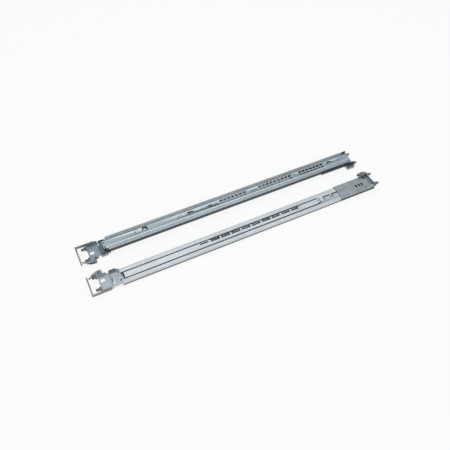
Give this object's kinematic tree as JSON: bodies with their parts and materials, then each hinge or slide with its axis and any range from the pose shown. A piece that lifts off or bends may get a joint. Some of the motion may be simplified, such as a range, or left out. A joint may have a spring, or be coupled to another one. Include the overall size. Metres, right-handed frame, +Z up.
{
  "type": "sliding server rail pair",
  "caption": "Pair of telescopic ball-bearing rails that carry a server in a rack, with toolless peg-and-latch brackets and a depth-adjusting rear section.",
  "frame": {"origin": "centre of the pair's footprint on the surface it lies on, rails closed", "axes": "+X along the rails from the front end to the rear end, +Y towards the left rail, +Z up, out of the left rail's server face"},
  "size_m": [0.707, 0.1294, 0.02],
  "materials": {
    "outer_steel": "bright zinc plated, fine roll grain",
    "middle_steel": "bright zinc plated",
    "inner_steel": "blue-grey zinc plated, satin",
    "bracket_steel": "blue-grey zinc plated, satin",
    "guard_steel": "grey zinc plated, satin",
    "peg_steel": "zinc plated, machined",
    "latch_steel": "zinc plated, satin",
    "bar_steel": "bright zinc plated",
    "retainer_steel": "bare steel strip",
    "ball_steel": "polished bearing steel",
    "rivet_steel": "zinc plated",
    "passivated_rivet": "yellow passivated zinc",
    "spring_steel": "oiled spring steel",
    "black_plastic": "moulded, matt"
  },
  "bodies": {
    "fixed_rails": {"left_outer_member": "outer_steel", "left_front_bracket": "bracket_steel", "left_front_guard": "guard_steel", "left_front_guard_rivets": "passivated_rivet", "left_front_pegs": "peg_steel", "left_fixed_rivets": "rivet_steel", "left_closing_bumpers": "black_plastic", "left_front_latch_pin": "rivet_steel", "left_front_latch_spring": "spring_steel", "left_release_slide_rivets": "rivet_steel", "right_outer_member": "outer_steel", "right_front_bracket": "bracket_steel", "right_front_guard": "guard_steel", "right_front_guard_rivets": "passivated_rivet", "right_front_pegs": "peg_steel", "right_fixed_rivets": "rivet_steel", "right_closing_bumpers": "black_plastic", "right_front_latch_pin": "rivet_steel", "right_front_latch_spring": "spring_steel", "right_release_slide_rivets": "rivet_steel"},
    "left_front_latch": {"left_front_latch_lever": "latch_steel"},
    "left_release": {"left_release_slide": "latch_steel"},
    "left_rear_bracket": {"left_rear_bracket": "bracket_steel", "left_rear_pegs": "peg_steel", "left_rear_rivets": "rivet_steel", "left_extension_bar": "bar_steel", "left_bar_glide": "black_plastic", "left_rear_latch_pin": "rivet_steel", "left_rear_latch_spring": "spring_steel"},
    "left_rear_latch": {"left_rear_latch_lever": "latch_steel"},
    "left_intermediate": {"left_intermediate_member": "middle_steel"},
    "left_outer_ball_set": {"left_outer_ball_retainer": "retainer_steel", "left_outer_balls": "ball_steel"},
    "left_inner_ball_set": {"left_inner_ball_retainer": "retainer_steel", "left_inner_balls": "ball_steel"},
    "left_inner": {"left_inner_member": "inner_steel", "left_thumb_latch_pin": "rivet_steel", "left_thumb_latch_spring": "spring_steel", "left_thumb_latch_rivets": "rivet_steel"},
    "left_thumb_latch": {"left_thumb_latch": "latch_steel"},
    "right_front_latch": {"right_front_latch_lever": "latch_steel"},
    "right_release": {"right_release_slide": "latch_steel"},
    "right_rear_bracket": {"right_rear_bracket": "bracket_steel", "right_rear_pegs": "peg_steel", "right_rear_rivets": "rivet_steel", "right_extension_bar": "bar_steel", "right_bar_glide": "black_plastic", "right_rear_latch_pin": "rivet_steel", "right_rear_latch_spring": "spring_steel"},
    "right_rear_latch": {"right_rear_latch_lever": "latch_steel"},
    "right_intermediate": {"right_intermediate_member": "middle_steel"},
    "right_outer_ball_set": {"right_outer_ball_retainer": "retainer_steel", "right_outer_balls": "ball_steel"},
    "right_inner_ball_set": {"right_inner_ball_retainer": "retainer_steel", "right_inner_balls": "ball_steel"},
    "right_inner": {"right_inner_member": "inner_steel", "right_thumb_latch_pin": "rivet_steel", "right_thumb_latch_spring": "spring_steel", "right_thumb_latch_rivets": "rivet_steel"},
    "right_thumb_latch": {"right_thumb_latch": "latch_steel"}
  },
  "joints": [
    {"name": "left_intermediate_slide", "type": "slide", "parent": "fixed_rails", "child": "left_intermediate", "axis": [-1, 0, 0], "range_m": [0, 0.3]},
    {"name": "left_inner_slide", "type": "slide", "parent": "left_intermediate", "child": "left_inner", "axis": [-1, 0, 0], "range_m": [0, 0.3]},
    {"name": "left_outer_ball_travel", "type": "slide", "parent": "fixed_rails", "child": "left_outer_ball_set", "axis": [-1, 0, 0], "range_m": [0, 0.15]},
    {"name": "left_inner_ball_travel", "type": "slide", "parent": "left_intermediate", "child": "left_inner_ball_set", "axis": [-1, 0, 0], "range_m": [0, 0.15]},
    {"name": "left_depth_slide", "type": "slide", "parent": "fixed_rails", "child": "left_rear_bracket", "axis": [1, 0, 0], "range_m": [0, 0.2]},
    {"name": "left_front_latch_pivot", "type": "hinge", "parent": "fixed_rails", "child": "left_front_latch", "pos_m": [-0.3255, 0.0204, 0.0044], "axis": [0, 0, 1], "range_deg": [0, 15], "stiffness_Nm_per_rad": 0.05, "deforming": ["left_front_latch_spring"]},
    {"name": "left_rear_latch_pivot", "type": "hinge", "parent": "left_rear_bracket", "child": "left_rear_latch", "pos_m": [0.331, 0.0204, 0.0035], "axis": [0, 0, -1], "range_deg": [0, 15], "stiffness_Nm_per_rad": 0.05, "deforming": ["left_rear_latch_spring"]},
    {"name": "left_release_travel", "type": "slide", "parent": "fixed_rails", "child": "left_release", "axis": [-1, 0, 0], "range_m": [0, 0.005], "stiffness_N_per_m": 200},
    {"name": "left_thumb_latch_pivot", "type": "hinge", "parent": "left_inner", "child": "left_thumb_latch", "pos_m": [-0.1875, 0.0442, 0.0162], "axis": [0, -1, 0], "range_deg": [0, 6], "stiffness_Nm_per_rad": 0.05, "deforming": ["left_thumb_latch_spring"]},
    {"name": "right_intermediate_slide", "type": "slide", "parent": "fixed_rails", "child": "right_intermediate", "axis": [-1, 0, 0], "range_m": [0, 0.3]},
    {"name": "right_inner_slide", "type": "slide", "parent": "right_intermediate", "child": "right_inner", "axis": [-1, 0, 0], "range_m": [0, 0.3]},
    {"name": "right_outer_ball_travel", "type": "slide", "parent": "fixed_rails", "child": "right_outer_ball_set", "axis": [-1, 0, 0], "range_m": [0, 0.15]},
    {"name": "right_inner_ball_travel", "type": "slide", "parent": "right_intermediate", "child": "right_inner_ball_set", "axis": [-1, 0, 0], "range_m": [0, 0.15]},
    {"name": "right_depth_slide", "type": "slide", "parent": "fixed_rails", "child": "right_rear_bracket", "axis": [1, 0, 0], "range_m": [0, 0.2]},
    {"name": "right_front_latch_pivot", "type": "hinge", "parent": "fixed_rails", "child": "right_front_latch", "pos_m": [-0.3255, -0.0204, 0.0156], "axis": [0, 0, -1], "range_deg": [0, 15], "stiffness_Nm_per_rad": 0.05, "deforming": ["right_front_latch_spring"]},
    {"name": "right_rear_latch_pivot", "type": "hinge", "parent": "right_rear_bracket", "child": "right_rear_latch", "pos_m": [0.331, -0.0204, 0.0165], "axis": [0, 0, 1], "range_deg": [0, 15], "stiffness_Nm_per_rad": 0.05, "deforming": ["right_rear_latch_spring"]},
    {"name": "right_release_travel", "type": "slide", "parent": "fixed_rails", "child": "right_release", "axis": [-1, 0, 0], "range_m": [0, 0.005], "stiffness_N_per_m": 200},
    {"name": "right_thumb_latch_pivot", "type": "hinge", "parent": "right_inner", "child": "right_thumb_latch", "pos_m": [-0.1875, -0.0442, 0.0038], "axis": [0, 1, 0], "range_deg": [0, 6], "stiffness_Nm_per_rad": 0.05, "deforming": ["right_thumb_latch_spring"]}
  ],
  "couplings": [
    {"joint": "left_outer_ball_travel", "follows": "left_intermediate_slide", "ratio": 0.5},
    {"joint": "left_inner_ball_travel", "follows": "left_inner_slide", "ratio": 0.5},
    {"joint": "right_outer_ball_travel", "follows": "right_intermediate_slide", "ratio": 0.5},
    {"joint": "right_inner_ball_travel", "follows": "right_inner_slide", "ratio": 0.5}
  ]
}
